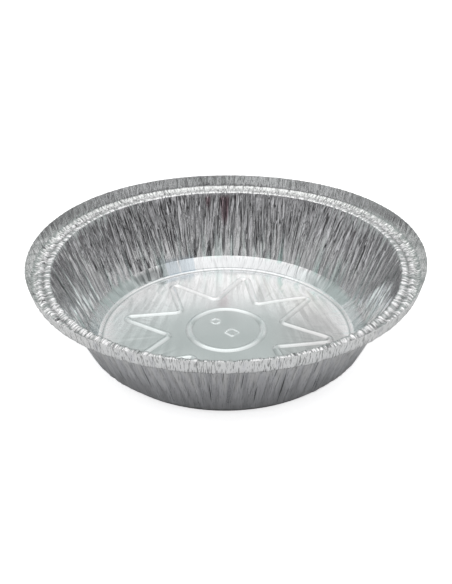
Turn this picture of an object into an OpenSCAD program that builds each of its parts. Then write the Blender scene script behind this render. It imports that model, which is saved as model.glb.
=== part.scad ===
// Round foil food container: one sheet of foil drawn into a pan with an upright lip,
// a two-row ledge, pleated flaring wall, rounded corner and an embossed star on its floor.
// Millimetres. The origin is the centre of the base, +Z up. The pan stands on its flat floor.

/* [Foil] */
// Thickness of the foil
foil_t = 0.09; // [0.05:0.01:0.2]

/* [Rim] */
// Diameter across the top edge of the lip
rim_d = 185; // [165:1:240]
// Height of the lip's top edge above the base
rim_h = 47.4; // [32:0.1:70]
// Height of the lip's straight face
lip_h = 6.3; // [3:0.1:10]
// How far the lip's face leans out over its height
lip_lean = 1.5; // [0:0.1:3]
// Width of the bend from the lip's foot to the gutter
bend_w = 2; // [1:0.1:3]
// Drop of the bend from the lip's foot to the gutter
bend_h = 1.3; // [0.6:0.1:2]
// Width of the ledge's outer row, from the gutter to the groove
outer_row_w = 3.4; // [2:0.1:6]
// Rise of the outer row's crest above the gutter
outer_row_h = 1.1; // [0.4:0.1:2]
// Depth of the groove between the ledge's two rows, below the outer row's crest
groove_h = 0.5; // [0.2:0.1:1]
// Width of the ledge's inner row, from the groove to the mouth
inner_row_w = 3.4; // [2:0.1:6]
// Rise of the mouth's edge above the groove
inner_row_h = 0.7; // [0.3:0.1:1.5]

/* [Wall] */
// How far the wall flares from upright, in degrees
wall_flare = 21; // [5:1:30]
// Radius of the rounded corner between wall and floor
corner_r = 9.6; // [6:0.1:14]
// Bands that the wall is folded in from top to foot
wall_bands = 3; // [1:1:4]

/* [Pleats] */
// Number of pleats round the wall and rim
pleat_count = 112; // [60:1:128]
// Depth of the wall's pleats
pleat_depth = 1; // [0.2:0.1:1.8]
// Depth of the same pleats where they run out above the corner
pleat_end_depth = 0.3; // [0:0.1:0.8]
// Depth of the ripple on the ledge's two crests
row_ripple = 0.4; // [0:0.1:0.8]
// Depth of the ripple in the gutter and the groove
groove_ripple = 0.2; // [0:0.1:0.4]
// Depth of the ripple of the lip
lip_ripple = 0.2; // [0:0.1:0.6]
// How much shallower the shallowest pleat is than the deepest, as a share
pleat_spread = 0.6; // [0:0.1:0.8]
// How far a fold wanders sideways, as a share of its width
pleat_wander = 0.25; // [0:0.05:0.3]
// How far groups of pleats lean sideways from the mouth to the wall's foot, in folds
pleat_lean = 1.5; // [0:0.1:2]

/* [Floor] */
// Place of the crease in the rounded corner, in degrees up from the floor
crease_angle = 19; // [12:1:30]
// Width of that crease
crease_w = 1.6; // [0.8:0.1:2.4]
// Height of that crease
crease_h = 0.35; // [0.1:0.05:0.6]
// Width of the embossed ribs at their foot
rib_w = 2.6; // [1.6:0.1:4]
// Width of the embossed ribs at their top
rib_top_w = 1; // [0.4:0.1:1.4]
// Height of the embossed ribs
rib_h = 0.8; // [0.3:0.1:1.5]
// Diameter of the ring in the middle, along its rib
circle_d = 37.4; // [24:0.1:50]
// Points of the star
star_points = 8; // [6:1:10]
// Direction of one of the star's points, in degrees
star_turn = 33.5; // [0:0.5:60]
// Distance from the flat floor's edge to the star's points
star_tip_gap = 7.8; // [4:0.1:12]
// Distance from the ring in the middle to the star's inner corners
star_root_gap = 10.8; // [6:0.1:14]
// Radius of the star's points along the rib
tip_round = 2.4; // [2.1:0.1:4]
// Radius of the star's inner corners along the rib
root_round = 2.4; // [2.1:0.1:4]

/* [Hidden] */

// Heights and radii of the rim's folds, from the lip's edge inwards to the mouth
rim_r = rim_d / 2;
foot_r = rim_r - lip_lean;
foot_z = rim_h - lip_h;
gutter_r = foot_r - bend_w;
gutter_z = foot_z - bend_h;
crest_r = gutter_r - outer_row_w / 2;
crest_z = gutter_z + outer_row_h;
groove_r = gutter_r - outer_row_w;
groove_z = crest_z - groove_h;
mouth_r = groove_r - inner_row_w;
mouth_z = groove_z + inner_row_h;

// The wall meets the base plane at base_r before the corner is rounded
base_r = mouth_r - mouth_z * tan(wall_flare);
floor_r = base_r - corner_r * tan(45 - wall_flare / 2);
wall_foot_angle = 90 - wall_flare;
half_crease = crease_w / 2 / corner_r * 180 / PI;

// Columns of points round each kind of ring: whole numbers for each point of the star
pleat_columns = 2 * pleat_count;
floor_columns = 10 * star_points;
circle_columns = 6 * star_points;
tip_steps = 2;
root_steps = 2;

// Turns that spread the pleats' depths and wandering unevenly, in degrees per fold and ring
depth_turn = 137.5;
depth_ring_turn = 40;
wander_turn = 97;
wander_ring_turn = 71;
// Times that the pleats' lean changes from one side to the other and back round the pan
lean_groups = 7;

// The star's straight edges touch the arcs of its points and its inner corners
circle_r = circle_d / 2;
half_step = 180 / star_points;
tip_centre = [floor_r - star_tip_gap - tip_round, 0];
root_centre = (circle_r + star_root_gap + root_round) * [cos(half_step), sin(half_step)];
edge_span = root_centre - tip_centre;
edge_normal = atan2(edge_span.y, edge_span.x) - acos((tip_round + root_round) / norm(edge_span));

function towards(a) = [cos(a), sin(a)];
function on_corner(a, rise = 0) = [
    floor_r + (corner_r - rise) * sin(a),
    corner_r - (corner_r - rise) * cos(a)
];

// Section through the pleated foil: radius, height and depth of its ripple
wall_top = [mouth_r, mouth_z];
wall_foot = on_corner(wall_foot_angle);
pleated_section = [
    [rim_r, rim_h, lip_ripple],
    [foot_r, foot_z, lip_ripple],
    [gutter_r, gutter_z, groove_ripple],
    [crest_r, crest_z, row_ripple],
    [groove_r, groove_z, groove_ripple],
    [mouth_r, mouth_z, row_ripple],
    for (k = [1 : 1 : wall_bands - 1])
        concat(wall_top + (wall_foot - wall_top) * k / wall_bands, pleat_depth),
    concat(wall_foot, pleat_end_depth)
];

// Section through the smooth corner, with its crease, down to the edge of the flat floor
corner_section = [
    on_corner((wall_foot_angle + crease_angle) / 2),
    on_corner(crease_angle + half_crease),
    on_corner(crease_angle, crease_h),
    on_corner(crease_angle - half_crease),
    on_corner(0)
];

// Direction through the foil at each fold, as long as keeps its thickness even
section = concat([for (s = pleated_section) [s.x, s.y]], corner_section);
function through(a, b) = let (d = (b - a) / norm(b - a)) [d.y, -d.x];
function mitre(a, b, c) = let (n = through(a, b), m = through(b, c)) (n + m) / (1 + n * m);
function across(k) =
    k == 0 ? [-1, 0]
    : k == len(section) - 1 ? [0, 1]
    : mitre(section[k - 1], section[k], section[k + 1]);

// A pleated ring turns in and out by its ripple, each fold by its own amount. Down the wall
// the folds lean together in groups.
function fold_depth(i, k) =
    pleated_section[k].z / 2 * (i % 2 == 0 ? 1 : -1)
    * (1 - pleat_spread * (1 + sin(depth_turn * i + depth_ring_turn * k)) / 2);
function fold_lean(i, k) =
    pleat_lean * sin(lean_groups * 360 * i / pleat_columns) * max(0, k - 5) / wall_bands;
function fold_angle(i, k) =
    star_turn + 360 / pleat_columns
    * (i + pleat_wander * sin(wander_turn * i + wander_ring_turn * k) + fold_lean(i, k));
function turned(p, a) = [p.x * cos(a), p.x * sin(a), p.y];

function pleated_ring(k, lift) = [
    for (i = [0 : pleat_columns - 1])
        turned(section[k] + (fold_depth(i, k) + lift) * across(k), fold_angle(i, k))
];
function plain_ring(p, columns) = [
    for (i = [0 : columns - 1]) turned(p, star_turn + i * 360 / columns)
];

// One sector of the star, offset outwards by d: half a point, an inner corner, half a point
function star_sector(d) = concat(
    [for (i = [0 : tip_steps]) tip_centre + (tip_round + d) * towards(edge_normal * i / tip_steps)],
    [for (i = [0 : root_steps])
        root_centre - (root_round - d)
        * towards(edge_normal + (half_step - edge_normal) * 2 * i / root_steps)],
    [for (i = [-tip_steps : -1])
        let (p = tip_centre + (tip_round + d) * towards(edge_normal * i / tip_steps), a = 2 * half_step)
        [p.x * cos(a) - p.y * sin(a), p.x * sin(a) + p.y * cos(a)]]
);
function star_ring(d, z) = [
    for (s = [0 : star_points - 1], p = star_sector(d))
        let (a = star_turn + s * 2 * half_step)
        [p.x * cos(a) - p.y * sin(a), p.x * sin(a) + p.y * cos(a), z]
];

// A rib's section: distance outwards from its middle, and height
rib_section = [[rib_w / 2, 0], [rib_top_w / 2, rib_h], [-rib_top_w / 2, rib_h], [-rib_w / 2, 0]];

// All rings of one face of the foil, from the lip's edge to the middle; lift is 0 or foil_t
function face_rings(lift) = concat(
    [for (k = [0 : len(pleated_section) - 1]) pleated_ring(k, lift)],
    [for (k = [len(pleated_section) : len(section) - 1])
        plain_ring(section[k] + lift * across(k), floor_columns)],
    [for (s = rib_section) star_ring(s.x, s.y + lift)],
    [for (s = rib_section) plain_ring([circle_r + s.x, s.y + lift], circle_columns)],
    [[[0, 0, lift]]]
);
function joined(lists) = [for (l = lists, p = l) p];
function starts(counts) = [
    for (k = 0, at = 0; k < len(counts); at = at + counts[k], k = k + 1) at
];

// Triangles between a ring of n points at a and the next ring inwards of m points at b
function partner_in(i, n, m) = ceil(((2 * i + 1) * m - n) / (2 * n));
function partner_out(j, n, m) = floor(((2 * j + 1) * n - m) / (2 * m)) + 1;
function band(a, n, b, m) = concat(
    [for (i = [0 : n - 1]) [a + i, b + partner_in(i, n, m) % m, a + (i + 1) % n]],
    m == 1 ? [] : [for (j = [0 : m - 1]) [a + partner_out(j, n, m) % n, b + j, b + (j + 1) % m]]
);
function flipped(faces) = [for (f = faces) [f[0], f[2], f[1]]];

module foil_pan() {
    under = face_rings(0);
    upper = face_rings(foil_t);
    counts = [for (ring = under) len(ring)];
    under_at = starts(counts);
    upper_shift = len(joined(under));
    bands = joined([
        for (k = [0 : len(counts) - 2]) band(under_at[k], counts[k], under_at[k + 1], counts[k + 1])
    ]);
    color([0.80, 0.81, 0.82])
    polyhedron(
        points = concat(joined(under), joined(upper)),
        faces = concat(
            flipped(bands),
            [for (f = bands) f + [upper_shift, upper_shift, upper_shift]],
            band(0, pleat_columns, upper_shift, pleat_columns)
        ),
        convexity = 8
    );
}

foil_pan();
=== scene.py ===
from collections import namedtuple
import math

import bpy
import numpy as np
from mathutils import Matrix, Vector

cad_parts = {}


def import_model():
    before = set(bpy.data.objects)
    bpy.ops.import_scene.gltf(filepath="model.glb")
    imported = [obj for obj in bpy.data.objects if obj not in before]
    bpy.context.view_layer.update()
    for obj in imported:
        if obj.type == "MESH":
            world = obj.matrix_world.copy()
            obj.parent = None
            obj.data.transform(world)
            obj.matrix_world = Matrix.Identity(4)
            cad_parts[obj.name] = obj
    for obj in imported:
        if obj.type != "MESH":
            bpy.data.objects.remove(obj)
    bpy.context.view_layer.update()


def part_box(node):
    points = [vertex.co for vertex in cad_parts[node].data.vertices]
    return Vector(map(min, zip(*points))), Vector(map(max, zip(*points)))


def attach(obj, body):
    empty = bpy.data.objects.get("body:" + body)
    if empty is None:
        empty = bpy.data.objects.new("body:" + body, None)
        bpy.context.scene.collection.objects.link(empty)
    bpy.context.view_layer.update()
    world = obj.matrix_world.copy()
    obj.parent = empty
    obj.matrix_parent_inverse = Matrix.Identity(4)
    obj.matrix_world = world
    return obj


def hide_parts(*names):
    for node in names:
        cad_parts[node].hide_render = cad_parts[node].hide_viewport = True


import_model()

MM = 0.001
SEED = 11

# Section of the pan, in millimetres: lip, ledge, wall and corner
node_low, node_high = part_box("foil_pan")
LIP_RIPPLE = 0.1
RIM_R = (node_high.x - node_low.x) / 2 / MM - LIP_RIPPLE
RIM_H = 47.3
FOIL_T = 0.1
LIP_H = 6.3
LIP_LEAN = 1.5
BEND_W = 2.0
BEND_H = 1.3
OUTER_ROW_W = 3.4
OUTER_ROW_H = 1.2
GROOVE_H = 0.7
INNER_ROW_W = 3.4
INNER_ROW_H = 0.9
MOUTH_DROP = 0.2
BEND_ROUND = 0.8
ROW_ROUND = 0.9
GROOVE_ROUND = 0.35
MOUTH_ROUND = 0.6
WALL_FLARE = math.radians(21)
CORNER_R = 9.6
CREASE_ANGLE = math.radians(19)
CREASE_W = 2.2
CREASE_H = 0.42

# How the rim stands out of round, in millimetres for each number of lobes, and its tilt
RIM_LOBES = {3: (0.24, 0.69), 4: (-0.40, 0.22)}
RIM_TILT = math.radians(0.28)

# Pleats of the solid, which this sheet follows: each is a ridge line and a valley line. Their
# depths are those at the lip's edge and foot, gutter, crest, groove, mouth and down the wall.
PLEATS = 112
PLEAT_LINES = 2 * PLEATS
PLEAT_DEPTHS = [0.2, 0.2, 0.2, 0.4, 0.2, 0.4, 1.0, 1.0, 0.3]
PLEAT_SPREAD = 0.6
PLEAT_WANDER = 0.25
PLEAT_LEAN = 1.5
LEAN_GROUPS = 7
# Turns that spread the pleats' depths and wandering unevenly, in degrees per line and ring
DEPTH_TURN = 137.5
DEPTH_RING_TURN = 40
WANDER_TURN = 97
WANDER_RING_TURN = 71
# Columns of the mesh from one pleat line to the next. A finer fold runs along the middle one.
SPLIT = 4
PLEAT_COLUMNS = SPLIT * PLEAT_LINES
AROUND = np.arange(PLEAT_COLUMNS) * 2 * math.pi / PLEAT_COLUMNS
# Deep creases that the photograph shows on the wall's outside: degrees round the pan, and the
# shares of the wall's height that they run from and to
OUTER_CREASES = [
    (-139.7, 0.05, 0.6), (-126.7, 0.0, 0.55), (-115, 0.0, 0.8), (-103, 0.05, 0.75), (-95.3, 0.4, 0.9),
    (-91, 0.1, 0.5), (-85.7, 0.2, 0.6), (-80.3, 0.5, 0.95), (-76, 0.0, 0.45), (-72, 0.3, 0.95),
]
# Further creases by chance: where they start and end, in shares of the wall's height
INNER_CREASES = 190
CHANCE_OUTER_CREASES = 30
WALL_CREASE_STARTS = (-0.3, 0.6)
WALL_CREASE_SPANS = (0.3, 1.0)
WALL_CREASE_ENDS = [1.0, 1.15]
WALL_CREASE_CHANCES = [0.85, 0.15]
WALL_CREASE_STRENGTHS = (0.6, 1.1)
OUTER_CREASE_H = 0.2
INNER_CREASE_H = -0.28
# Height that the folds keep at the wall's foot, the stretch past it in which they run out, how
# unevenly they end there, and the share of them that reach further
FOOT_FOLD_H = 0.32
FOOT_FADE = (-1.6, 0.4)
END_SPREAD = 0.5
LONG_FOLD_REACH = 0.8
LONG_FOLD_SHARE = 0.05
# Dent at the foot of the wall: direction, half its width and its soft edge in degrees, the
# height of its reach, its depth, and how far the folds run over the band there
DENT_AT = 131
DENT_HALF = 8.5
DENT_EDGE = 2
DENT_REACH = 4.0
DENT_H = 0.25
DENT_FOLD_REACH = 7
# Roughness of the lip's cut edge, in millimetres
EDGE_ROUGHNESS = 0.04
# Two flat facets of the band beside the dent, in degrees from and to. They get a darker painted bluish
# reflection.
FLAT_FACETS = [(106, 113.6), (114.4, 120.5)]

# Emboss of the floor, in millimetres
RIB_W = 3.5
RIB_TOP_W = 0.6
RIB_H = 0.85
RIB_MARGIN = 0.4
CIRCLE_R = 18.7
STAR_POINTS = 8
STAR_TURN = math.radians(33.5)
STAR_TIP_R = 52.0
STAR_ROOT_R = 29.5
TIP_ROUND = 2.4
ROOT_ROUND = 2.4
# Two small plain marks inside the middle ring: a ring and a diamond, with a painted highlight along
# their lines
MARK_W = 1.1
MARK_H = 0.3
MARK_HIGHLIGHT = 0.21
RING_MARK_AT = (-5.4, 7.2)
RING_MARK_R = 2.2
DIAMOND_MARK_AT = (2.7, -3.0)
DIAMOND_MARK_R = 3.5

# The floor's pale wisps, painted reflection streaks, fan out from this far behind the pan's middle, in
# millimetres
FAN_FROM = 200

# Rows and columns of the mesh
LIP_ROWS = 4
BEND_ROWS = 2
MOUTH_ROWS = 3
WALL_ROWS = 13
BAND_ROWS = 3
CREASE_ROWS = 4
FLOOR_EDGE_ROWS = 2
FLOOR_COLUMNS = 240
FLOOR_ROWS = 4
RIB_SIDE_ROWS = 2
STAR_INSIDE_ROWS = 5
DISC_COLUMNS = 144
DISC_ROWS = 24

# Colour of the metal, and faint tints that multiply it. The tints are painted reflections, and painted
# light and shade on the band and the lip's inside.
METAL = (0.808, 0.808, 0.812)
PALE_REFLECTION_TINT = (0.955, 1.01, 1.0)
GREEN_REFLECTION_TINT = (0.86, 0.94, 0.92)
OUTER_REFLECTION_TINT = (1.0, 1.008, 1.03)
BAND_BACK_SHADE_TINT = (0.885, 0.897, 0.902)
BAND_SIDE_LIGHT_TINT = (0.965, 1.04, 1.03)
BLUE_REFLECTION_TINT = (0.715, 0.775, 0.815)
TEAL_REFLECTION_TINT = (0.55, 0.61, 0.61)
LIP_LIGHT_TINT = (1.06, 1.075, 1.06)
BACK_REFLECTION_TINT = (1.0, 1.0, 0.992)
WARM_REFLECTION_TINT = (1.04, 1.045, 1.015)
BROWN_REFLECTION_TINT = (0.60, 0.47, 0.50)
# Painted brownish reflections on facets at the top of the wall: direction and width in degrees, and
# length in mm
BROWN_REFLECTION_FACETS = [(90.3, 4.6, 19), (97.2, 2.7, 10), (85.8, 1.6, 5)]
# Painted greenish reflections on facets at the foot of the wall, the same way
GREEN_REFLECTION_FACETS = [
    (32, 5, 16), (37.5, 3, 12), (43, 2, 9), (54, 3, 10),
    (63, 2.6, 9), (69, 3, 8), (98, 2.4, 6), (147, 3, 8),
]
# Painted dark greenish reflection on a facet between the flat facets and the dent, in degrees from and
# to
TEAL_REFLECTION_FACET = (120.8, 124.2)
# Brightest that a tone may be
TONE_LIMIT = 0.98

# Distances along the section, in millimetres, from the lip's edge to each fold
Marks = namedtuple("Marks", "edge lip_foot gutter crest groove top mouth foot band_foot")


def smooth_step(low, high, x):
    t = np.clip((x - low) / (high - low), 0, 1)
    return t * t * (3 - 2 * t)


def facing(angles):
    return np.stack([np.cos(angles), np.sin(angles)], axis=-1)


def apart(angle, degrees):
    """How far each angle is from a direction in degrees, the short way round."""
    return np.abs((angle - math.radians(degrees) + math.pi) % (2 * math.pi) - math.pi)


class Waves:
    """Random waves round the pan whose crests drift sideways with depth down the foil."""

    def __init__(self, rng, lowest, highest, count, drift=0.0):
        self.turns = rng.integers(lowest, highest + 1, count)
        self.phase = rng.uniform(0, 2 * math.pi, count)
        self.drift = rng.normal(0, 1, count) * drift
        self.size = math.sqrt(2 / count)

    def at(self, angle, depth=0.0):
        total = 0.0
        for turns, phase, drift in zip(self.turns, self.phase, self.drift):
            total = total + np.cos(turns * angle + phase + drift * depth)
        return total * self.size


def wandering(rng, along, lines, reach):
    """A random value for each line that changes smoothly over each reach of foil."""
    place = along / reach
    first = np.floor(place).astype(int)
    t = smooth_step(0, 1, place - first)[:, None]
    knots = rng.normal(0, 1, (first.max() + 2, lines))
    return knots[first] * (1 - t) + knots[first + 1] * t


# Section

def rounded(corners):
    """Points along a line of (r, z, round, rows in the bend, rows in the span after it)."""
    points = [np.array(corners[0][:2])]
    for before, here, after in zip(corners, corners[1:], corners[2:] + [corners[-1]]):
        corner = np.array(here[:2])
        start = corner
        if here[2] > 0:
            back = np.array(before[:2]) - corner
            start = corner + back / np.linalg.norm(back) * here[2]
        span = start - points[-1]
        rows = before[4]
        points += [points[-1] + span * j / rows for j in range(1, rows)] + [start]
        if here[2] > 0:
            ahead = np.array(after[:2]) - corner
            end = corner + ahead / np.linalg.norm(ahead) * here[2]
            for j in range(1, here[3] + 1):
                t = j / here[3]
                points.append((1 - t) ** 2 * start + 2 * t * (1 - t) * corner + t * t * end)
    return points


def on_corner(floor_r, angle, rise=0.0):
    return np.array([
        floor_r + (CORNER_R - rise) * math.sin(angle),
        CORNER_R - (CORNER_R - rise) * math.cos(angle),
    ])


def distances(points):
    """Distance from the first point to each along the line through them all."""
    steps = np.linalg.norm(np.diff(np.array(points), axis=0), axis=1)
    return np.concatenate([[0], np.cumsum(steps)])


def pan_section():
    """Radius and height of each row from the lip's edge to the flat floor's edge."""
    lip_foot = (RIM_R - LIP_LEAN, RIM_H - LIP_H)
    gutter = (lip_foot[0] - BEND_W, lip_foot[1] - BEND_H)
    crest = (gutter[0] - OUTER_ROW_W / 2, gutter[1] + OUTER_ROW_H)
    groove = (gutter[0] - OUTER_ROW_W, crest[1] - GROOVE_H)
    top = (groove[0] - INNER_ROW_W / 2, groove[1] + INNER_ROW_H)
    mouth = (groove[0] - INNER_ROW_W, groove[1] + INNER_ROW_H - MOUTH_DROP)
    base_r = mouth[0] - mouth[1] * math.tan(WALL_FLARE)
    floor_r = base_r - CORNER_R * math.tan(math.pi / 4 - WALL_FLARE / 2)
    half = CREASE_W / 2 / CORNER_R
    wall_foot = on_corner(floor_r, math.pi / 2 - WALL_FLARE)
    band_foot = on_corner(floor_r, CREASE_ANGLE + half)
    points = rounded([
        (RIM_R, RIM_H, 0, 0, LIP_ROWS),
        (*lip_foot, BEND_ROUND, BEND_ROWS, 1),
        (*gutter, BEND_ROUND, BEND_ROWS, 1),
        (*crest, ROW_ROUND, BEND_ROWS, 1),
        (*groove, GROOVE_ROUND, BEND_ROWS, 1),
        (*top, ROW_ROUND, BEND_ROWS, 1),
        (*mouth, MOUTH_ROUND, MOUTH_ROWS, WALL_ROWS),
        (*wall_foot, 0, 0, BAND_ROWS),
        (*band_foot, 0, 0, 0),
    ])
    for angle in np.linspace(CREASE_ANGLE + half, CREASE_ANGLE - half, CREASE_ROWS + 1)[1:]:
        rise = CREASE_H * (1 - abs(angle - CREASE_ANGLE) / half)
        points.append(on_corner(floor_r, angle, rise))
    for angle in np.linspace(CREASE_ANGLE - half, 0, FLOOR_EDGE_ROWS + 1)[1:]:
        points.append(on_corner(floor_r, angle))
    corners = [(RIM_R, RIM_H), lip_foot, gutter, crest, groove, top, mouth, wall_foot, band_foot]
    return np.array(points), floor_r, Marks(*distances(corners))


def through_foil(section):
    """Direction through the foil at each row, as long as keeps the foil's thickness even."""
    step = np.diff(section, axis=0)
    step /= np.linalg.norm(step, axis=1)[:, None]
    side = np.stack([step[:, 1], -step[:, 0]], axis=1)
    before = np.concatenate([side[:1], side])
    after = np.concatenate([side, side[-1:]])
    across = (before + after) / (1 + (before * after).sum(1))[:, None]
    across[0], across[-1] = (-1, 0), (0, 1)
    return across


# Pleats and dents

def solid_pleats(along, marks):
    """Direction and height of the solid's pleat lines at each row."""
    _, lip_foot, gutter, crest, groove, _, mouth, foot, _ = marks
    third = (foot - mouth) / 3
    rings = [0, lip_foot, gutter, crest, groove, mouth, mouth + third, mouth + 2 * third, foot]
    i = np.arange(PLEAT_LINES)
    angles, heights = [], []
    for k, depth in enumerate(PLEAT_DEPTHS):
        wander = PLEAT_WANDER * np.sin(np.radians(WANDER_TURN * i + WANDER_RING_TURN * k))
        lean = PLEAT_LEAN * np.sin(LEAN_GROUPS * 2 * math.pi * i / PLEAT_LINES) * max(0, k - 5) / 3
        angles.append(STAR_TURN + (i + wander + lean) * 2 * math.pi / PLEAT_LINES)
        spread = 1 - PLEAT_SPREAD * (1 + np.sin(np.radians(DEPTH_TURN * i + DEPTH_RING_TURN * k))) / 2
        heights.append(depth / 2 * np.where(i % 2 == 0, 1, -1) * spread)
    share = np.stack([np.interp(along, rings, row) for row in np.eye(len(rings))], axis=1)
    return share @ np.array(angles), share @ np.array(heights)


def fine_folds(rng, along, marks):
    """Height that each column adds: a fold between two pleat lines, and small wrinkles all over."""
    _, lip_foot, gutter, crest, groove, top, mouth, foot, band_foot = marks
    places = [0, lip_foot, gutter, crest, groove, top, mouth, mouth + 4, foot - 6, foot - 1, foot]
    depths = [0.03, 0.06, 0.14, 0.24, 0.10, 0.18, 0.14, 0.26, 0.24, 0.20, 0.08]
    reach = np.interp(along, places, depths)[:, None]
    folds = np.zeros((len(along), PLEAT_LINES, SPLIT))
    middle = 0.9 * rng.normal(0, 1, PLEAT_LINES) + 0.5 * wandering(rng, along, PLEAT_LINES, 22)
    fold = reach * np.clip(middle, -1.5, 1.5)
    folds[:, :, SPLIT // 2] = fold
    for column in (1, 3):
        beside = wandering(rng, along, PLEAT_LINES, 18)
        folds[:, :, column] = 0.5 * fold + 0.4 * reach * beside
    folds = folds.reshape(len(along), PLEAT_COLUMNS)
    places = [0, lip_foot, gutter, crest, groove, top, mouth, mouth + 3, foot, band_foot - 1, band_foot]
    depths = [0.03, 0.08, 0.20, 0.22, 0.12, 0.15, 0.05, 0.04, 0.03, 0.02, 0.0]
    length = np.interp(along, [0, mouth, mouth + 2, foot, foot + 1], [3.5, 3.5, 15, 15, 3.5])
    place = np.concatenate([[0], np.cumsum(np.diff(along) / length[1:])])
    wrinkles = np.interp(along, places, depths)[:, None] * wandering(rng, place, PLEAT_COLUMNS, 1)
    band = smooth_step(foot, foot + 3, along) * (1 - smooth_step(band_foot - 3, band_foot, along))
    flats = 0.07 * band[:, None] * Waves(rng, 18, 70, 14).at(AROUND, along[:, None] / foot)
    return folds, wrinkles + flats


def creases(rng, along, marks, angle):
    """Narrow creases of the wall: their height, and the painted shade line that each face shows along
    them.
    """
    mouth, foot = marks.mouth, marks.foot
    height = np.zeros_like(angle)
    lines = np.zeros((2, *angle.shape))
    middle = angle[np.searchsorted(along, (mouth + foot) / 2)]
    places = [(azimuth, first, last, 1, 1.0) for azimuth, first, last in OUTER_CREASES]
    for number, side in ((INNER_CREASES, -1), (CHANCE_OUTER_CREASES, 1)):
        for azimuth in rng.uniform(-180, 180, number):
            first = rng.uniform(*WALL_CREASE_STARTS)
            span = rng.uniform(*WALL_CREASE_SPANS)
            last = min(first + span, rng.choice(WALL_CREASE_ENDS, p=WALL_CREASE_CHANCES))
            places.append((azimuth, first, last, side, rng.uniform(*WALL_CREASE_STRENGTHS)))
    for azimuth, first, last, side, strength in places:
        column = np.argmin(apart(middle, azimuth))
        share = np.clip(((along - mouth) / (foot - mouth) - first) / (last - first), 0, 1)
        bell = strength * np.sin(math.pi * share) ** (0.4 if side > 0 else 0.7)
        height[:, column] += (OUTER_CREASE_H if side > 0 else INNER_CREASE_H) * bell
        face = 0 if side > 0 else 1
        lines[face, :, column] = np.maximum(lines[face, :, column], bell)
    return height, lines


def rim_lean(angle, level):
    """How far the thin rim stands out of round and tilts, as the photograph shows it."""
    share = np.clip(level / RIM_H, 0, 1)
    out = sum(
        c * np.cos(lobes * angle) + s * np.sin(lobes * angle)
        for lobes, (c, s) in RIM_LOBES.items()
    )
    return out * share, share * math.tan(RIM_TILT) * RIM_R * np.cos(angle)


def split(lines, turn):
    """SPLIT columns from each line to the next; the first line comes round again by turn."""
    after = np.concatenate([lines[:, 1:], lines[:, :1] + turn], axis=1)
    share = np.arange(SPLIT) / SPLIT
    return (lines[:, :, None] * (1 - share) + after[:, :, None] * share).reshape(len(lines), -1)


def in_facets(angle, facets):
    """Where a direction lies in one of the facets, given in degrees from and to."""
    degrees = np.degrees(angle) % 360
    return sum((degrees > first) & (degrees < last) for first, last in facets)


def shades(rng, angle, along, marks, height, dent, fade):
    """Painted light and shade of each point of the outer and the inner face, from its place and its
    fold.
    """
    _, lip_foot, gutter, _, groove, _, mouth, foot, band_foot = marks
    down = along[:, None]
    middle = (mouth + foot) / 2
    shade = np.ones((2, *height.shape))
    outer, inner = shade

    # Painted shade where the foil folds away, on the outside and on the inside
    crook = height - (np.roll(height, 1, axis=1) + np.roll(height, -1, axis=1)) / 2
    softer = 1 - 0.9 * np.exp(-((down - foot) / 3.0) ** 2)
    for face, side, least, darkness in ((outer, 1, 0.3, 0.35), (inner, -1, 0.10, 0.75)):
        face -= darkness * softer * np.clip((side * crook - least) / 0.4, 0, 1)

    # Outside: painted light on the lip and the sides, painted shade towards the wall's foot, wide bands
    # of painted fold shade down the wall, and random darker patches on the lip
    broad_fold_shade = Waves(rng, 50, 120, 12, drift=4.0).at(AROUND, down / foot)
    places = [0, 0.8, lip_foot, gutter, mouth + 1, middle, foot, band_foot]
    outer *= np.interp(along, places, [1.27, 1.2, 1.2, 1.2, 1.33, 1.15, 0.80, 0.73])[:, None]
    outer *= 1 - 0.09 * np.clip(broad_fold_shade, -1.2, 1.2) * (down > gutter)
    outer *= 1 + 0.17 * smooth_step(0.5, 0.95, np.abs(np.cos(angle)))
    lip_dark_patches = smooth_step(1.1, 1.8, Waves(rng, 40, 130, 9).at(AROUND))
    outer *= 1 - 0.3 * lip_dark_patches * np.exp(-((down - 2.5) / 1.8) ** 2)

    # Inside: painted shade in the gutter and groove, low on the sides and in the dent, and painted
    # shade streaks on the band
    for dip, depth in ((gutter, 0.08), (groove, 0.4), (groove - 0.9, 0.3)):
        inner *= 1 - depth * np.exp(-((down - dip) / 0.6) ** 2)
    low = smooth_step(mouth, foot, down) * (1 - smooth_step(foot, foot + 1, down))
    inner *= 1 - 0.16 * low * (1 - np.clip(np.sin(angle), 0, 1) ** 2)
    inner *= 1 - 0.5 * dent * smooth_step(foot - 1, foot + 0.5, down) * fade
    band_streaks = Waves(np.random.default_rng(SEED + 1), 60, 200, 12, drift=8.0)
    streaks = smooth_step(0.7, 1.9, band_streaks.at(AROUND, down / foot))
    inner *= 1 - 0.12 * streaks * smooth_step(foot, foot + 1, down)
    # Painted light on the ledge; the wall is darker at its top and brightens towards its foot
    places = [gutter - 1, gutter, mouth, mouth + 0.6, middle, foot]
    inner *= np.interp(along, places, [1, 1.2, 1.2, 0.97, 1.06, 1.1])[:, None]

    # The corner's crease: a painted highlight on it, a painted shade line inside its foot, and a
    # painted highlight on the floor's edge
    crease_foot = len(along) - 1 - FLOOR_EDGE_ROWS
    inner[crease_foot - CREASE_ROWS + 1:crease_foot] *= 1.17
    inner[crease_foot] *= 0.66
    inner[crease_foot + 1:] *= 1.2
    return shade


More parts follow.
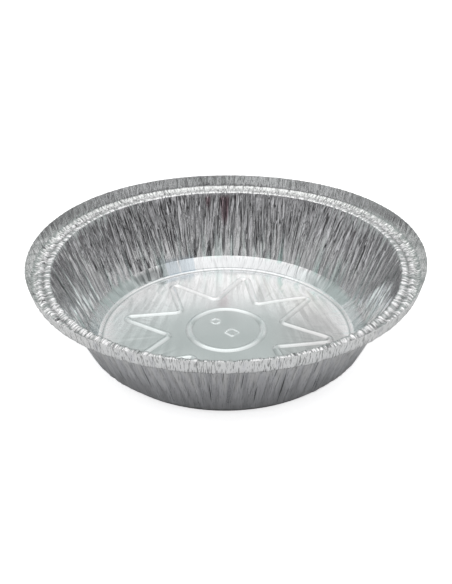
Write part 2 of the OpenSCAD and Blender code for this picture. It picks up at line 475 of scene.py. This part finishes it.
def pleated_rows(rng, section, marks):
    """Direction, radius and height of the lower face's points, and what else the sheet needs."""
    foot, band_foot = marks.foot, marks.band_foot
    across = through_foil(section)
    along = distances(section)
    down = along[:, None]
    line, pleats = solid_pleats(along, marks)
    even = STAR_TURN + np.arange(PLEAT_LINES) * 2 * math.pi / PLEAT_LINES
    line += (even - line) * smooth_step(foot, along[-1], down)
    angle = split(line, 2 * math.pi)
    folds, wrinkles = fine_folds(rng, along, marks)
    away = np.degrees(apart(angle, DENT_AT))
    dent = 1 - smooth_step(DENT_HALF - DENT_EDGE, DENT_HALF + DENT_EDGE, away)
    uneven = END_SPREAD * rng.normal(0, 1, (1, PLEAT_LINES))
    longer = LONG_FOLD_REACH * (rng.random((1, PLEAT_LINES)) < LONG_FOLD_SHARE)
    ends = split(foot + uneven + longer, 0)
    fade = 1 - smooth_step(*FOOT_FADE, down - ends - DENT_FOLD_REACH * dent)
    flat = 1 - in_facets(angle, FLAT_FACETS) * smooth_step(foot - 2.5, foot - 1, down)
    narrow, lines = creases(rng, along, marks, angle)
    lines *= flat * (1 - 0.85 * smooth_step(foot - 3.5, foot - 0.5, down))
    wrinkles *= 1 + 2.3 * dent * smooth_step(foot - 3, foot, down)
    height = split(pleats, 0) + folds * (1 + 0.5 * dent) + narrow
    limit = np.interp(along, [foot - 7, foot - 2], [2, FOOT_FOLD_H])[:, None]
    height = (np.clip(height, -limit, limit) * fade + wrinkles) * flat
    height += DENT_H * dent * np.exp(-((down - foot - 0.5) / DENT_REACH) ** 2)
    height *= 1 - smooth_step(band_foot - 1, band_foot, down)
    out, up = rim_lean(angle, section[:, 1][:, None])
    radius = section[:, 0][:, None] + height * across[:, 0][:, None] + out
    level = section[:, 1][:, None] + height * across[:, 1][:, None] + up
    level[0] += EDGE_ROUGHNESS * wandering(rng, along[:1], PLEAT_COLUMNS, 4)[0]
    shade = shades(rng, angle, along, marks, height, dent, fade)
    return angle, radius, level, across, along, shade, lines


# Floor

def star_ring(offset):
    """The star's outline, moved outwards by offset, FLOOR_COLUMNS points from one star point on."""
    half = math.pi / STAR_POINTS
    tip = np.array([STAR_TIP_R - TIP_ROUND, 0.0])
    root = (STAR_ROOT_R + ROOT_ROUND) * facing(half)
    span = root - tip
    reach = (TIP_ROUND + ROOT_ROUND) / np.linalg.norm(span)
    normal = math.atan2(span[1], span[0]) - math.acos(reach)
    tip_steps = 3
    root_steps = 4
    edge_steps = (FLOOR_COLUMNS // STAR_POINTS - 2 * tip_steps - root_steps) // 2
    tip_arc = tip + (TIP_ROUND + offset) * facing(np.linspace(0, normal, tip_steps + 1))
    root_angles = np.linspace(normal, 2 * half - normal, root_steps + 1)
    root_arc = root - (ROOT_ROUND - offset) * facing(root_angles)
    share = np.arange(1, edge_steps)[:, None] / edge_steps
    down = tip_arc[-1] + (root_arc[0] - tip_arc[-1]) * share
    first = np.concatenate([tip_arc, down, root_arc])
    turn, side = facing(2 * half)
    mirror = np.array([[turn, side], [side, -turn]])
    second = np.concatenate([down[::-1], tip_arc[::-1][:-1]]) @ mirror
    sector = np.concatenate([first, second])
    ring = []
    for k in range(STAR_POINTS):
        turn, side = facing(STAR_TURN + 2 * half * k)
        ring.append(sector @ np.array([[turn, side], [-side, turn]]))
    return np.concatenate(ring)


def circle_ring(radius, columns):
    return radius * facing(STAR_TURN + np.arange(columns) * 2 * math.pi / columns)


def rib_profile():
    """Offset, height and painted shade of each row across a rib, from outside its outer foot inwards.
    """
    side = np.linspace(RIB_W / 2, RIB_TOP_W / 2, RIB_SIDE_ROWS + 1)
    margin = RIB_W / 2 + RIB_MARGIN
    offset = np.concatenate([[margin], side, -side[::-1], [-margin]])
    share = np.interp(np.abs(offset), [RIB_TOP_W / 2, RIB_W / 2], [1, 0])
    # Painted shade at the rib's feet, rising to a painted highlight on its top
    shade = np.where(np.abs(offset) > RIB_W / 2, 1, 0.82 + 0.32 * share)
    return list(zip(offset, RIB_H * share, shade))


def mark_height(points):
    """Height of the two small marks at each point of the disc."""
    from_ring = np.hypot(*(points - RING_MARK_AT).T) - RING_MARK_R
    from_diamond = (np.abs(points - DIAMOND_MARK_AT).sum(axis=1) - DIAMOND_MARK_R) / math.sqrt(2)
    nearest = np.minimum(np.abs(from_ring), np.abs(from_diamond))
    return MARK_H * (1 - smooth_step(0, MARK_W / 2, nearest))


def floor_rings(floor_r):
    """Rings of the floor inside its flat edge, as (points, height of the emboss, painted shade)."""
    rings = []
    edge = circle_ring(floor_r, FLOOR_COLUMNS)
    profile = rib_profile()
    reach = profile[0][0]
    outside = star_ring(reach)
    for k in range(1, FLOOR_ROWS):
        rings.append((edge + (outside - edge) * k / FLOOR_ROWS, 0.0, 1.0))
    for offset, height, shade in profile:
        rings.append((star_ring(offset), height, shade))
    inside = rings[-1][0]
    bead = circle_ring(CIRCLE_R + reach, FLOOR_COLUMNS)
    for k in range(1, STAR_INSIDE_ROWS):
        rings.append((inside + (bead - inside) * k / STAR_INSIDE_ROWS, 0.0, 1.0))
    for offset, height, shade in profile:
        rings.append((circle_ring(CIRCLE_R + offset, FLOOR_COLUMNS), height, shade))
    disc_r = CIRCLE_R - reach
    for k in range(1, DISC_ROWS):
        points = circle_ring(disc_r * (1 - k / DISC_ROWS), DISC_COLUMNS)
        height = mark_height(points)
        # Painted highlight on the marks' raised lines
        rings.append((points, height, 1 + MARK_HIGHLIGHT * height / MARK_H))
    rings.append((np.zeros((1, 2)), 0.0, 1.0))
    return rings


def floor_waves(rng, floor_r):
    """A function of place on the floor: soft radial waves near its edge and slow ones all over."""
    radial = Waves(rng, 30, 110, 14)
    slow = Waves(rng, 2, 9, 8, drift=5.0)

    def height(points):
        r = np.hypot(*points.T)
        angle = np.arctan2(points[:, 1], points[:, 0])
        edge = smooth_step(0.45, 0.9, r / floor_r) * (1 - smooth_step(0.97, 1, r / floor_r))
        inner = smooth_step(0.05, 0.4, r / floor_r) * (1 - smooth_step(0.97, 1, r / floor_r))
        waves = 0.07 * edge * radial.at(angle) + 0.10 * inner * slow.at(angle, r / floor_r)
        return np.clip(0.12 * inner + waves, 0, None)

    return height


# Mesh

def partner_in(i, n, m):
    return math.ceil(((2 * i + 1) * m - n) / (2 * n)) % m


def partner_out(j, n, m):
    return (((2 * j + 1) * n - m) // (2 * m) + 1) % n


def band_faces(a, n, b, m):
    """Faces, seen from above, between a ring of n points from a and the next inwards of m from b."""
    if n == m:
        return [(a + i, a + (i + 1) % n, b + (i + 1) % n, b + i) for i in range(n)]
    faces = [(a + i, a + (i + 1) % n, b + partner_in(i, n, m)) for i in range(n)]
    if m > 1:
        faces += [(b + (j + 1) % m, b + j, a + partner_out(j, n, m)) for j in range(m)]
    return faces


def sharpen_ring(mesh, first, count):
    """Mark the edges along one ring of points as sharp."""
    ends = np.empty(2 * len(mesh.edges), dtype=np.int32)
    mesh.edges.foreach_get("vertices", ends)
    ring = ((ends >= first) & (ends < first + count)).reshape(-1, 2).all(axis=1)
    sharp = np.empty(len(mesh.edges), dtype=bool)
    edges = mesh.attributes["sharp_edge"].data
    edges.foreach_get("value", sharp)
    edges.foreach_set("value", sharp | ring)


def foil_pan():
    rng = np.random.default_rng(SEED)
    section, floor_r, marks = pan_section()
    angle, radius, level, across, along, shade, lines = pleated_rows(rng, section, marks)
    under, upper = [], []
    for k in range(len(section)):
        dr, dz = FOIL_T * across[k]
        for face, r, z in ((under, radius[k], level[k]), (upper, radius[k] + dr, level[k] + dz)):
            face.append(np.column_stack([facing(angle[k]) * r[:, None], z]))
    waves = floor_waves(rng, floor_r)
    floor_shade = []
    for points, height, ring_shade in floor_rings(floor_r):
        floor_shade.append(np.full(len(points), ring_shade))
        z = waves(points) + height
        under.append(np.column_stack([points, z]))
        upper.append(np.column_stack([points, z + FOIL_T]))
    counts = [len(ring) for ring in under]
    starts = np.concatenate([[0], np.cumsum(counts)[:-1]])
    shift = sum(counts)
    upper_faces, under_faces = [], []
    for k in range(len(counts) - 1):
        for face in band_faces(int(starts[k]), counts[k], int(starts[k + 1]), counts[k + 1]):
            upper_faces.append(tuple(shift + v for v in face))
            under_faces.append(face[::-1])
    edge_faces = band_faces(0, PLEAT_COLUMNS, shift, PLEAT_COLUMNS)
    vertices = np.concatenate(under + upper) * MM
    mesh = bpy.data.meshes.new("foil_sheet")
    mesh.from_pydata(vertices.tolist(), [], upper_faces + under_faces + edge_faces)
    mesh.validate()
    mesh.shade_smooth()
    mesh.set_sharp_from_angle(angle=math.radians(24))
    foot_row = len(section) - 1 - FLOOR_EDGE_ROWS - CREASE_ROWS - BAND_ROWS
    sharpen_ring(mesh, shift + int(starts[foot_row]), PLEAT_COLUMNS)
    floor_shade = np.concatenate(floor_shade)
    tone = tones(rng, np.concatenate(under), angle, along, marks, shade, floor_shade)
    add_surface(mesh, np.concatenate(under), along, marks, tone, lines, floor_shade == 1)
    pan = bpy.data.objects.new("foil_sheet", mesh)
    bpy.context.scene.collection.objects.link(pan)
    return pan


def tones(rng, points, angle, along, marks, shade, floor_shade):
    """Colour of each point of both faces: the metal, its painted light and shade, and faint tints of
    painted reflection and painted light.
    """
    gutter, mouth, foot, band_foot = marks.gutter, marks.mouth, marks.foot, marks.band_foot
    tone = np.ones((2, len(points), 3)) * METAL
    # The ribs' painted shade and highlights and the marks' painted highlight; on the inside also
    # painted light towards the back of the floor and painted shade on its right front
    tone[0, angle.size:] *= floor_shade[:, None]
    east, north = points[angle.size:, :2].T
    right = smooth_step(15, 45, east) * smooth_step(40, 0, north)
    painted_floor_light = (1 + 0.18 * smooth_step(5, 50, north)) * (1 - 0.17 * right)
    tone[1, angle.size:] *= (floor_shade * painted_floor_light)[:, None]
    # Painted reflection tints on the floor: pale at the front, neutral towards the back and warmer at
    # the back right
    back = np.maximum(smooth_step(5, 50, north), smooth_step(15, 45, east))[:, None]
    warm_reflection = (smooth_step(-5, 35, east) * smooth_step(0, 30, north))[:, None]
    far = BACK_REFLECTION_TINT + (np.array(WARM_REFLECTION_TINT) - BACK_REFLECTION_TINT) * warm_reflection
    tone[:, angle.size:] *= PALE_REFLECTION_TINT + (far - PALE_REFLECTION_TINT) * back
    tint = np.ones((*angle.shape, 3))
    # Painted greenish reflections on random facets low on the wall
    facets = smooth_step(0.5, 1.1, Waves(rng, 20, 90, 10, drift=1.5).at(angle, along[:, None] / foot))
    low = smooth_step((mouth + foot) / 2 - 6, foot, along) * (along < foot + 0.5)
    tint += (facets * low[:, None])[..., None] * (np.array(GREEN_REFLECTION_TINT) - 1)
    # Painted shade on the band at the back and painted light on it at the sides, each with a faint tint
    behind = smooth_step(0.6, 0.9, np.sin(angle))[..., None]
    band_light_and_shade = BAND_SIDE_LIGHT_TINT + (np.array(BAND_BACK_SHADE_TINT) - BAND_SIDE_LIGHT_TINT) * behind
    tint += smooth_step(foot - 0.5, foot + 0.5, along)[:, None, None] * (band_light_and_shade - 1)
    # Painted light on the lip's inside
    tint[along < gutter] *= LIP_LIGHT_TINT
    degrees = np.degrees(angle) % 360
    band = ((along > foot - 1.8) & (along < band_foot + 0.5))[:, None]
    # Painted darker bluish reflections on the flat facets
    for first, last in FLAT_FACETS:
        tint[band & (degrees > first) & (degrees < last)] = BLUE_REFLECTION_TINT
    # A painted dark greenish reflection on one facet of the band and the wall's foot
    reach = ((along > foot - 6) & (along < band_foot))[:, None]
    tint[reach & (degrees > TEAL_REFLECTION_FACET[0]) & (degrees < TEAL_REFLECTION_FACET[1])] = TEAL_REFLECTION_TINT
    # Painted brownish reflections at the top of the wall
    for middle, width, length in BROWN_REFLECTION_FACETS:
        reach = smooth_step(length, length - 4, along - mouth) * (along > mouth)
        half = width / 2 * (1 - 0.6 * (along - mouth) / length)[:, None]
        brown_reflection = reach[:, None] * (1 - smooth_step(-0.3, 0.3, np.abs(degrees - middle) - half))
        tint += brown_reflection[..., None] * (np.array(BROWN_REFLECTION_TINT) - 1)
    # Painted greenish reflections on facets at the foot of the wall
    for middle, width, length in GREEN_REFLECTION_FACETS:
        reach = smooth_step(length, length - 6, foot - along) * (along < foot + 0.5)
        half = width / 2 * (1 - 0.7 * np.clip(foot - along, 0, length) / length)[:, None]
        green_reflection = reach[:, None] * (1 - smooth_step(-0.4, 0.4, np.abs(degrees - middle) - half))
        tint += green_reflection[..., None] * (np.array(GREEN_REFLECTION_TINT) - 1)
    # The outside takes its painted light and shade and a painted reflection tint; the inside takes its
    # painted light and shade and the tints above
    tone[0, :angle.size] *= shade[0].reshape(-1, 1) * OUTER_REFLECTION_TINT
    tone[1, :angle.size] *= (shade[1][..., None] * tint).reshape(-1, 3)
    return np.clip(tone, 0, TONE_LIMIT)


def add_surface(mesh, points, along, marks, tone, lines, plain):
    """Give each point its finish, tone, painted shade lines and painted pinch shade, painted reflection
    wisps, and a place drawn out down the foil.
    """
    _, lip_foot, gutter, _, _, _, mouth, foot, band_foot = marks
    pleated = lines[0].size
    r = np.hypot(points[:, 0], points[:, 1])
    satin = np.full(len(points), 0.18)
    crumple = np.full(len(points), 0.15)
    # Painted reflection wisps on the floor, stronger towards the back and faint on the ribs
    back = smooth_step(-0.4, 0.5, points[:, 1] / np.maximum(r, 1))
    wisps = smooth_step(20, 42, r) * (0.5 + 0.5 * back)
    wisps[:pleated] = 0
    wisps[pleated:] *= np.where(plain, 1, 0.2)
    bearing = np.arctan2(points[:, 0], FAN_FROM - points[:, 1])
    fan = np.column_stack([300 * bearing, np.zeros(len(points)), 0.12 * points[:, 1]])
    grain = np.column_stack([points[:, :2] / np.maximum(r, 1)[:, None] * 80, 0.12 * r])
    places = [0, lip_foot, gutter, mouth, foot, band_foot]
    by_row = np.interp(along, places, [0.2, 0.18, 0.11, 0.08, 0.08, 0.18])
    satin[:pleated] = np.repeat(by_row, PLEAT_COLUMNS)
    places = [0, lip_foot, gutter, mouth, mouth + 1, foot]
    by_row = np.interp(along, places, [0.9, 0.9, 1.0, 1.0, 0.3, 0.25])
    crumple[:pleated] = np.repeat(by_row, PLEAT_COLUMNS)
    stretch = np.interp(along, [0, lip_foot, gutter, mouth, mouth + 1], [0.08, 0.10, 0.14, 0.14, 0.06])
    drawn = np.concatenate([[0], np.cumsum(np.diff(along) * (stretch[1:] + stretch[:-1]) / 2)])
    grain[:pleated, 2] = np.repeat(drawn, PLEAT_COLUMNS)
    # Painted shade of fine pinches, by row: outside first, then inside
    pinch_shade = np.zeros((2, len(points)))
    places = [0, lip_foot, gutter, mouth, mouth + 1, foot, foot + 1, band_foot]
    by_row = np.interp(along, places, [0.6, 0.6, 0.5, 0.3, 0.3, 0.25, 0.1, 0.0])
    pinch_shade[0, :pleated] = np.repeat(by_row, PLEAT_COLUMNS)
    by_row = np.interp(along, places, [0.5, 0.5, 0.6, 0.55, 0.4, 0.35, 0.2, 0.1])
    pinch_shade[1, :pleated] = np.repeat(by_row, PLEAT_COLUMNS)
    both = np.zeros((2, len(points)))
    both[:, :pleated] = lines.reshape(2, -1)
    colours = np.concatenate([tone, np.ones((2, len(points), 1))], axis=2)
    for name, kind, key, values in (
        ("pinch_shade", "FLOAT", "value", pinch_shade),
        ("line", "FLOAT", "value", both),
        ("tone", "FLOAT_COLOR", "color", colours),
        ("wisps", "FLOAT", "value", np.tile(wisps, 2)),
        ("satin", "FLOAT", "value", np.tile(satin, 2)),
        ("crumple", "FLOAT", "value", np.tile(crumple, 2)),
        ("grain", "FLOAT_VECTOR", "vector", np.tile(grain.ravel(), 2)),
        ("fan", "FLOAT_VECTOR", "vector", np.tile(fan.ravel(), 2)),
    ):
        mesh.attributes.new(name, kind, "POINT").data.foreach_set(key, values.ravel())


# Materials

# Tone of the darkest painted shade line, scales of the noises, and height of the bump in millimetres
CREASE_SHADE_TONE = 0.25
BUMP_SCALE = 1.3
PINCH_SHADE_SCALE = 3.1
WISP_SCALE = 0.22
BUMP_H = 0.16
# What the painted reflection wisps add to the tone, at their darkest and brightest
WISP_TONES = (-0.13, 0.17)
# Distances in metres over which the floor brightens away from its painted shadow under the pan, which
# only reflections see, and its greys there
PAINTED_SHADOW_SPAN = (0.060, 0.112)
FLOOR_GREYS = (0.60, 0.85)


def nodes_of(material):
    material.use_nodes = True
    tree = material.node_tree
    tree.nodes.clear()
    return tree.nodes, tree.links


def attribute(nodes, name):
    node = nodes.new("ShaderNodeAttribute")
    node.attribute_name = name
    return node


def map_range(nodes, links, source, start, end, low=0.0, high=1.0, smooth=False):
    """Takes source from start and end to low and high."""
    node = nodes.new("ShaderNodeMapRange")
    node.interpolation_type = "SMOOTHSTEP" if smooth else "LINEAR"
    for name, value in (("From Min", start), ("From Max", end), ("To Min", low), ("To Max", high)):
        node.inputs[name].default_value = value
    links.new(source, node.inputs["Value"])
    return node.outputs["Result"]


def noise(nodes, links, place, scale, detail):
    node = nodes.new("ShaderNodeTexNoise")
    node.inputs["Scale"].default_value = scale
    node.inputs["Detail"].default_value = detail
    links.new(place, node.inputs["Vector"])
    return node.outputs["Fac"]


def arithmetic(nodes, links, operation, *sources):
    """A sum or product of other nodes' outputs and plain numbers."""
    node = nodes.new("ShaderNodeMath")
    node.operation = operation
    for socket, source in zip(node.inputs, sources):
        if isinstance(source, float):
            socket.default_value = source
        else:
            links.new(source, socket)
    return node.outputs["Value"]


def foil_material():
    """Satin metal in the sheet's tones, with painted pinch shade, painted shade lines, painted
    reflection wisps and a slight bump.
    """
    material = bpy.data.materials.new("foil")
    nodes, links = nodes_of(material)
    out = nodes.new("ShaderNodeOutputMaterial")
    shader = nodes.new("ShaderNodeBsdfPrincipled")
    tone = nodes.new("ShaderNodeVectorMath")
    tone.operation = "SCALE"
    links.new(attribute(nodes, "tone").outputs["Color"], tone.inputs[0])
    depth = attribute(nodes, "line").outputs["Fac"]
    # Painted shade along the wall's creases
    line = map_range(nodes, links, depth, 0.4, 0.95, 1.0, CREASE_SHADE_TONE, smooth=True)
    grain = attribute(nodes, "grain").outputs["Vector"]
    streak = noise(nodes, links, grain, BUMP_SCALE, 3)
    # Painted shade of fine pinches
    pinch_noise = noise(nodes, links, grain, PINCH_SHADE_SCALE, 2)
    tick = map_range(nodes, links, pinch_noise, 0.53, 0.63, smooth=True)
    pinch_shade = attribute(nodes, "pinch_shade").outputs["Fac"]
    ticked = arithmetic(nodes, links, "MULTIPLY", tick, pinch_shade)
    untouched = arithmetic(nodes, links, "SUBTRACT", 1.0, ticked)
    lined = arithmetic(nodes, links, "MULTIPLY", line, untouched)
    fan = attribute(nodes, "fan").outputs["Vector"]
    # Painted reflection wisps on the floor
    flame = noise(nodes, links, fan, WISP_SCALE, 3)
    glint = map_range(nodes, links, flame, 0.38, 0.62, *WISP_TONES)
    wisps = attribute(nodes, "wisps").outputs["Fac"]
    pale = arithmetic(nodes, links, "MULTIPLY_ADD", glint, wisps, lined)
    links.new(pale, tone.inputs["Scale"])
    links.new(tone.outputs["Vector"], shader.inputs["Base Color"])
    shader.inputs["Metallic"].default_value = 1.0
    links.new(shader.outputs["BSDF"], out.inputs["Surface"])
    links.new(attribute(nodes, "satin").outputs["Fac"], shader.inputs["Roughness"])
    bump = nodes.new("ShaderNodeBump")
    links.new(attribute(nodes, "crumple").outputs["Fac"], bump.inputs["Strength"])
    bump.inputs["Distance"].default_value = BUMP_H * MM
    links.new(streak, bump.inputs["Height"])
    links.new(bump.outputs["Normal"], shader.inputs["Normal"])
    return material


def floor_material():
    """Pale floor, with a painted shadow under the pan that only reflections see. The camera sees it
    white, with the object's soft shadow.
    """
    material = bpy.data.materials.new("floor")
    nodes, links = nodes_of(material)
    out = nodes.new("ShaderNodeOutputMaterial")
    pale = nodes.new("ShaderNodeBsdfDiffuse")
    place = nodes.new("ShaderNodeTexCoord")
    distance = nodes.new("ShaderNodeVectorMath")
    distance.operation = "LENGTH"
    links.new(place.outputs["Object"], distance.inputs[0])
    from_middle = distance.outputs["Value"]
    # Painted shadow under the pan, seen only in reflections
    floor_with_painted_shadow = map_range(nodes, links, from_middle, *PAINTED_SHADOW_SPAN, *FLOOR_GREYS, smooth=True)
    links.new(floor_with_painted_shadow, pale.inputs["Color"])
    seen = nodes.new("ShaderNodeBsdfDiffuse")
    seen.inputs["Color"].default_value = (0.9, 0.9, 0.9, 1)
    glow = nodes.new("ShaderNodeEmission")
    glow.inputs["Strength"].default_value = 0.72
    white = nodes.new("ShaderNodeAddShader")
    path = nodes.new("ShaderNodeLightPath")
    mix = nodes.new("ShaderNodeMixShader")
    links.new(seen.outputs["BSDF"], white.inputs[0])
    links.new(glow.outputs["Emission"], white.inputs[1])
    links.new(path.outputs["Is Camera Ray"], mix.inputs["Fac"])
    links.new(pale.outputs["BSDF"], mix.inputs[1])
    links.new(white.outputs["Shader"], mix.inputs[2])
    links.new(mix.outputs["Shader"], out.inputs["Surface"])
    return material


# Stage

def floor():
    mesh = bpy.data.meshes.new("floor")
    reach = 3.0
    corners = [(-reach, -reach, 0), (reach, -reach, 0), (reach, reach, 0), (-reach, reach, 0)]
    mesh.from_pydata(corners, [], [(0, 1, 2, 3)])
    plane = bpy.data.objects.new("floor", mesh)
    plane.data.materials.append(floor_material())
    bpy.context.scene.collection.objects.link(plane)


# Brightness of the studio by the height of the direction, 0 level and 1 straight up
BEHIND_PAN = [(0.0, 0.42), (0.35, 0.42), (0.55, 0.56), (0.72, 0.84), (0.88, 1.0)]
BEHIND_CAMERA = [(0.0, 0.40), (0.15, 0.36), (0.30, 0.20), (0.50, 0.24), (0.68, 0.75), (0.85, 1.0)]


def grey_ramp(nodes, stops, tint=(1, 1, 1)):
    """Greys by height. The tint fades out towards the brightest stop."""
    ramp = nodes.new("ShaderNodeValToRGB")
    elements = ramp.color_ramp.elements
    elements[0].position = stops[0][0]
    elements[1].position = stops[-1][0]
    for position, _ in stops[1:-1]:
        elements.new(position)
    for element, (position, grey) in zip(elements, stops):
        share = np.interp(position, [0.5, 0.72], [1, 0])
        element.color = tuple(grey * (1 + (part - 1) * share) for part in tint) + (1,)
    return ramp


def world():
    """A pale studio: bright overhead, dimmer behind the pan and darkest on the camera's side."""
    studio = bpy.data.worlds.new("studio")
    bpy.context.scene.world = studio
    nodes, links = nodes_of(studio)
    out = nodes.new("ShaderNodeOutputWorld")
    place = nodes.new("ShaderNodeTexCoord")
    parts = nodes.new("ShaderNodeSeparateXYZ")
    links.new(place.outputs["Generated"], parts.inputs[0])
    behind_pan = grey_ramp(nodes, BEHIND_PAN, (0.93, 1.0, 0.985))
    behind_camera = grey_ramp(nodes, BEHIND_CAMERA, (0.99, 0.99, 1.015))
    upright = nodes.new("ShaderNodeVectorMath")
    upright.operation = "MULTIPLY"
    upright.inputs[1].default_value = (1, 1, 0.12)
    links.new(place.outputs["Generated"], upright.inputs[0])
    clutter = noise(nodes, links, upright.outputs["Vector"], 6.5, 2)
    contrast = map_range(nodes, links, clutter, 0.42, 0.58, 0.1, 2.3)
    links.new(parts.outputs["Z"], behind_pan.inputs["Fac"])
    links.new(parts.outputs["Z"], behind_camera.inputs["Fac"])
    side = map_range(nodes, links, parts.outputs["Y"], -0.2, 0.5, smooth=True)
    room = nodes.new("ShaderNodeMix")
    room.data_type = "RGBA"
    links.new(side, room.inputs["Factor"])
    dim = nodes.new("ShaderNodeVectorMath")
    dim.operation = "SCALE"
    links.new(behind_camera.outputs["Color"], dim.inputs[0])
    links.new(contrast, dim.inputs["Scale"])
    low = map_range(nodes, links, parts.outputs["Z"], 0.75, 0.50)
    cluttered = nodes.new("ShaderNodeMix")
    cluttered.data_type = "RGBA"
    links.new(low, cluttered.inputs["Factor"])
    links.new(behind_camera.outputs["Color"], cluttered.inputs[6])
    links.new(dim.outputs["Vector"], cluttered.inputs[7])
    links.new(cluttered.outputs[2], room.inputs[6])
    links.new(behind_pan.outputs["Color"], room.inputs[7])
    light = nodes.new("ShaderNodeBackground")
    links.new(room.outputs[2], light.inputs["Color"])
    white = nodes.new("ShaderNodeBackground")
    white.inputs["Color"].default_value = (1, 1, 1, 1)
    path = nodes.new("ShaderNodeLightPath")
    mix = nodes.new("ShaderNodeMixShader")
    links.new(path.outputs["Is Camera Ray"], mix.inputs["Fac"])
    links.new(light.outputs["Background"], mix.inputs[1])
    links.new(white.outputs["Background"], mix.inputs[2])
    links.new(mix.outputs["Shader"], out.inputs["Surface"])


def soft_lamp(name, place, target, size, watts):
    data = bpy.data.lights.new(name, "AREA")
    data.shape = "RECTANGLE"
    data.size, data.size_y = size
    data.energy = watts
    lamp = bpy.data.objects.new(name, data)
    lamp.location = place
    lamp.rotation_mode = "QUATERNION"
    lamp.rotation_quaternion = (Vector(target) - Vector(place)).to_track_quat("-Z", "Y")
    bpy.context.scene.collection.objects.link(lamp)


# Camera: lens, place in metres, and how far it looks down and rolls
LENS_MM = 42.24
EYE_AT = (0, -0.28896, 0.19124)
EYE_DOWN = math.radians(30.40)
EYE_ROLL = math.radians(-0.42)


def camera():
    """The photograph's view, whose frame is 452 by 584 pixels, looking along +Y and down on the pan.
    The render's size is not set here.
    """
    data = bpy.data.cameras.new("camera")
    data.sensor_width = 36
    data.lens = LENS_MM
    data.clip_start = 0.01
    eye = bpy.data.objects.new("camera", data)
    turn = Matrix.Rotation(math.pi / 2 - EYE_DOWN, 4, "X") @ Matrix.Rotation(EYE_ROLL, 4, "Z")
    eye.matrix_world = Matrix.Translation(EYE_AT) @ turn
    bpy.context.scene.collection.objects.link(eye)
    bpy.context.scene.camera = eye


bpy.context.scene.view_settings.view_transform = "Standard"
camera()
pan = foil_pan()
pan.data.materials.append(foil_material())
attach(pan, "root")
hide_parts("foil_pan")
floor()
world()
soft_lamp("overhead", (-0.25, -0.5, 1.2), (0, 0, 0), (1.7, 1.5), 1.6)
